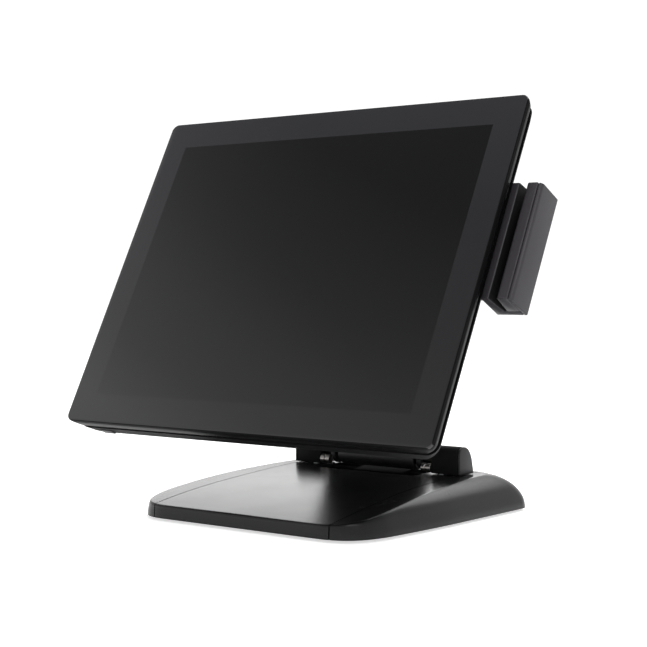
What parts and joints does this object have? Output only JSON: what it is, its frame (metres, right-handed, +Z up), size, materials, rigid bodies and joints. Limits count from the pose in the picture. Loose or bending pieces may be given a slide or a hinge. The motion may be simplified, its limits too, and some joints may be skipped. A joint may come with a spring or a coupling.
{
  "type": "point of sale touchscreen terminal",
  "caption": "Flat touchscreen terminal with a card reader on its side, on a stand whose neck folds on the base and tilts the head.",
  "frame": {"origin": "on the floor under the middle of the whole object's box", "axes": "+X to the customer's right, +Y away from the customer, +Z up"},
  "size_m": [0.374, 0.2382, 0.3185],
  "materials": {
    "cover_glass": "black-printed cover glass, polished",
    "gasket_foam": "closed-cell foam tape",
    "bezel_plastic": "moulded ABS, fine satin texture",
    "cover_plastic": "moulded ABS, fine matt texture",
    "base_plastic": "moulded ABS, satin",
    "reader_plastic": "moulded ABS, fine grain",
    "cap_plastic": "moulded ABS, satin, slightly lighter",
    "display_module": "pressed tin over a plastic frame",
    "black_steel": "black powder coat",
    "bright_steel": "turned and nickel-plated",
    "zinc_sheet": "zinc-plated sheet",
    "drive_case": "anodised black",
    "cast_iron": "as cast, painted",
    "fin_aluminium": "extruded, satin",
    "board_green": "solder-masked glass-fibre board",
    "port_plastic": "moulded connector plastic",
    "foot_rubber": "moulded, matt",
    "button_plastic": "moulded ABS, satin"
  },
  "bodies": {
    "base": {"base_top": "base_plastic", "side_rail_left": "base_plastic", "side_rail_right": "base_plastic", "base_plate": "black_steel", "ballast_weight": "cast_iron", "cable_guide": "cover_plastic", "foot_1": "foot_rubber", "foot_2": "foot_rubber", "foot_3": "foot_rubber", "foot_4": "foot_rubber", "hinge_cover_left": "cover_plastic", "hinge_cover_right": "cover_plastic", "hinge_cap_left": "cap_plastic", "hinge_cap_right": "cap_plastic", "lower_bracket_left": "zinc_sheet", "lower_bracket_right": "zinc_sheet", "friction_washer_left": "bright_steel", "friction_washer_right": "bright_steel", "tension_screw_left": "bright_steel", "tension_screw_right": "bright_steel"},
    "neck": {"neck_arm": "black_steel", "neck_cover_front": "cover_plastic", "neck_cover_rear": "cover_plastic", "upper_shaft_left": "bright_steel", "upper_shaft_right": "bright_steel", "lower_shaft_left": "bright_steel", "lower_shaft_right": "bright_steel"},
    "head": {"touch_glass": "cover_glass", "glass_gasket": "gasket_foam", "front_bezel": "bezel_plastic", "display_panel": "display_module", "main_chassis": "zinc_sheet", "mainboard": "board_green", "cpu_heatsink": "fin_aluminium", "memory_module": "board_green", "drive_tray": "zinc_sheet", "storage_drive": "drive_case", "speaker_left": "port_plastic", "speaker_right": "port_plastic", "rear_cover": "cover_plastic", "io_panel": "zinc_sheet", "dc_inlet": "port_plastic", "serial_port": "port_plastic", "lan_port": "port_plastic", "usb_port": "port_plastic", "cable_cover": "cover_plastic", "cover_screw_1": "black_steel", "cover_screw_2": "black_steel", "upper_hinge_plate": "black_steel", "hinge_screw_1": "bright_steel", "hinge_screw_2": "bright_steel", "hinge_screw_3": "bright_steel", "hinge_screw_4": "bright_steel", "reader_bracket": "cover_plastic", "reader_guide": "reader_plastic", "reader_housing": "reader_plastic", "reader_cover": "reader_plastic"},
    "button": {"power_button": "button_plastic"},
    "reader_pickup": {"read_head": "bright_steel"}
  },
  "joints": [
    {"name": "neck_fold", "type": "hinge", "parent": "base", "child": "neck", "pos_m": [-0.011, 0.06825, 0.0403], "axis": [-1, 0, 0], "range_deg": [-5, 25]},
    {"name": "head_tilt", "type": "hinge", "parent": "neck", "child": "head", "pos_m": [-0.011, -0.00815, 0.13755], "axis": [-1, 0, 0], "range_deg": [-20, 50]},
    {"name": "power_press", "type": "slide", "parent": "head", "child": "button", "axis": [0, 0.4571, 0.8894], "range_m": [0, 0.0008], "stiffness_N_per_m": 900},
    {"name": "read_head_float", "type": "slide", "parent": "head", "child": "reader_pickup", "axis": [1, 0, 0], "range_m": [0, 0.0007], "stiffness_N_per_m": 900}
  ]
}
